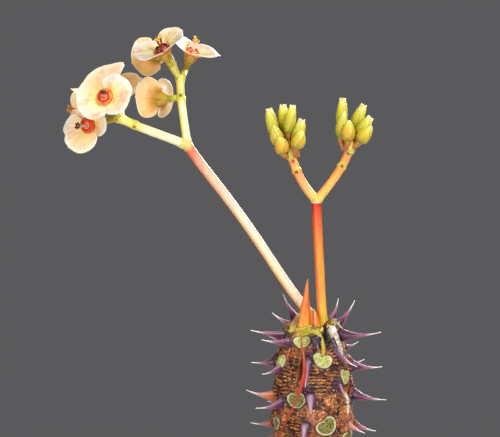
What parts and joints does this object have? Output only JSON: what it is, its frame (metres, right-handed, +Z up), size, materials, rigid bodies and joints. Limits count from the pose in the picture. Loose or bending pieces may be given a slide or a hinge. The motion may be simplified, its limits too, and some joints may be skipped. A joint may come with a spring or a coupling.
{
  "type": "potted thorny euphorbia",
  "caption": "Thorny succulent euphorbia in a plain clay pot: a spiny brown stem, a leaning forked stalk of open cream cyathia and an upright forked stalk of buds.",
  "frame": {"origin": "centre of the pot's flat base, on the surface that it stands on", "axes": "+Z up along the stem, -X towards the side that the long flower stalk leans to, -Y towards the front, where the open flowers face"},
  "size_m": [0.155, 0.12, 0.3001],
  "materials": {
    "clay": "matte",
    "peat_soil": "matte",
    "stem_bark": "matte",
    "pink_stalk": "satin",
    "green_stalk": "satin",
    "orange_stalk": "satin",
    "cup_green": "satin",
    "petal_cream": "satin",
    "gland_red": "satin",
    "bud_green": "satin",
    "leaf_bud_orange": "satin",
    "dried_red": "matte"
  },
  "bodies": {
    "root": {"pot": "clay", "potting_mix": "peat_soil", "main_stem": "stem_bark", "flower_stalk": "pink_stalk", "flower_stalk_left_branch": "green_stalk", "flower_stalk_upper_branch": "green_stalk", "bud_stalk": "orange_stalk", "bud_stalk_left_branch": "orange_stalk", "bud_stalk_right_branch": "orange_stalk", "flower_a_cup": "cup_green", "flower_a_petal_1": "petal_cream", "flower_a_petal_2": "petal_cream", "flower_a_glands": "gland_red", "flower_b_cup": "cup_green", "flower_b_petal_1": "petal_cream", "flower_b_petal_2": "petal_cream", "flower_b_glands": "gland_red", "flower_c_cup": "cup_green", "flower_c_petal_1": "petal_cream", "flower_c_petal_2": "petal_cream", "flower_c_glands": "gland_red", "flower_d_cup": "cup_green", "flower_d_petal_1": "petal_cream", "flower_d_petal_2": "petal_cream", "flower_d_glands": "gland_red", "flower_e_cup": "cup_green", "flower_e_petal_1": "petal_cream", "flower_e_petal_2": "petal_cream", "flower_e_glands": "gland_red", "flower_f_cup": "cup_green", "flower_f_petal_1": "petal_cream", "flower_f_petal_2": "petal_cream", "flower_f_glands": "gland_red", "flower_g_cup": "cup_green", "flower_g_petal_1": "petal_cream", "flower_g_petal_2": "petal_cream", "flower_g_glands": "gland_red", "flower_h_cup": "cup_green", "flower_h_petal_1": "petal_cream", "flower_h_petal_2": "petal_cream", "flower_h_glands": "gland_red", "left_bud_1": "bud_green", "left_bud_2": "bud_green", "left_bud_3": "bud_green", "left_bud_4": "bud_green", "left_bud_5": "bud_green", "left_bud_6": "bud_green", "left_bud_7": "bud_green", "right_bud_1": "bud_green", "right_bud_2": "bud_green", "right_bud_3": "bud_green", "right_bud_4": "bud_green", "right_bud_5": "bud_green", "right_bud_6": "bud_green", "leaf_bud": "leaf_bud_orange", "small_bract": "leaf_bud_orange", "dried_strand": "dried_red"}
  },
  "joints": []
}
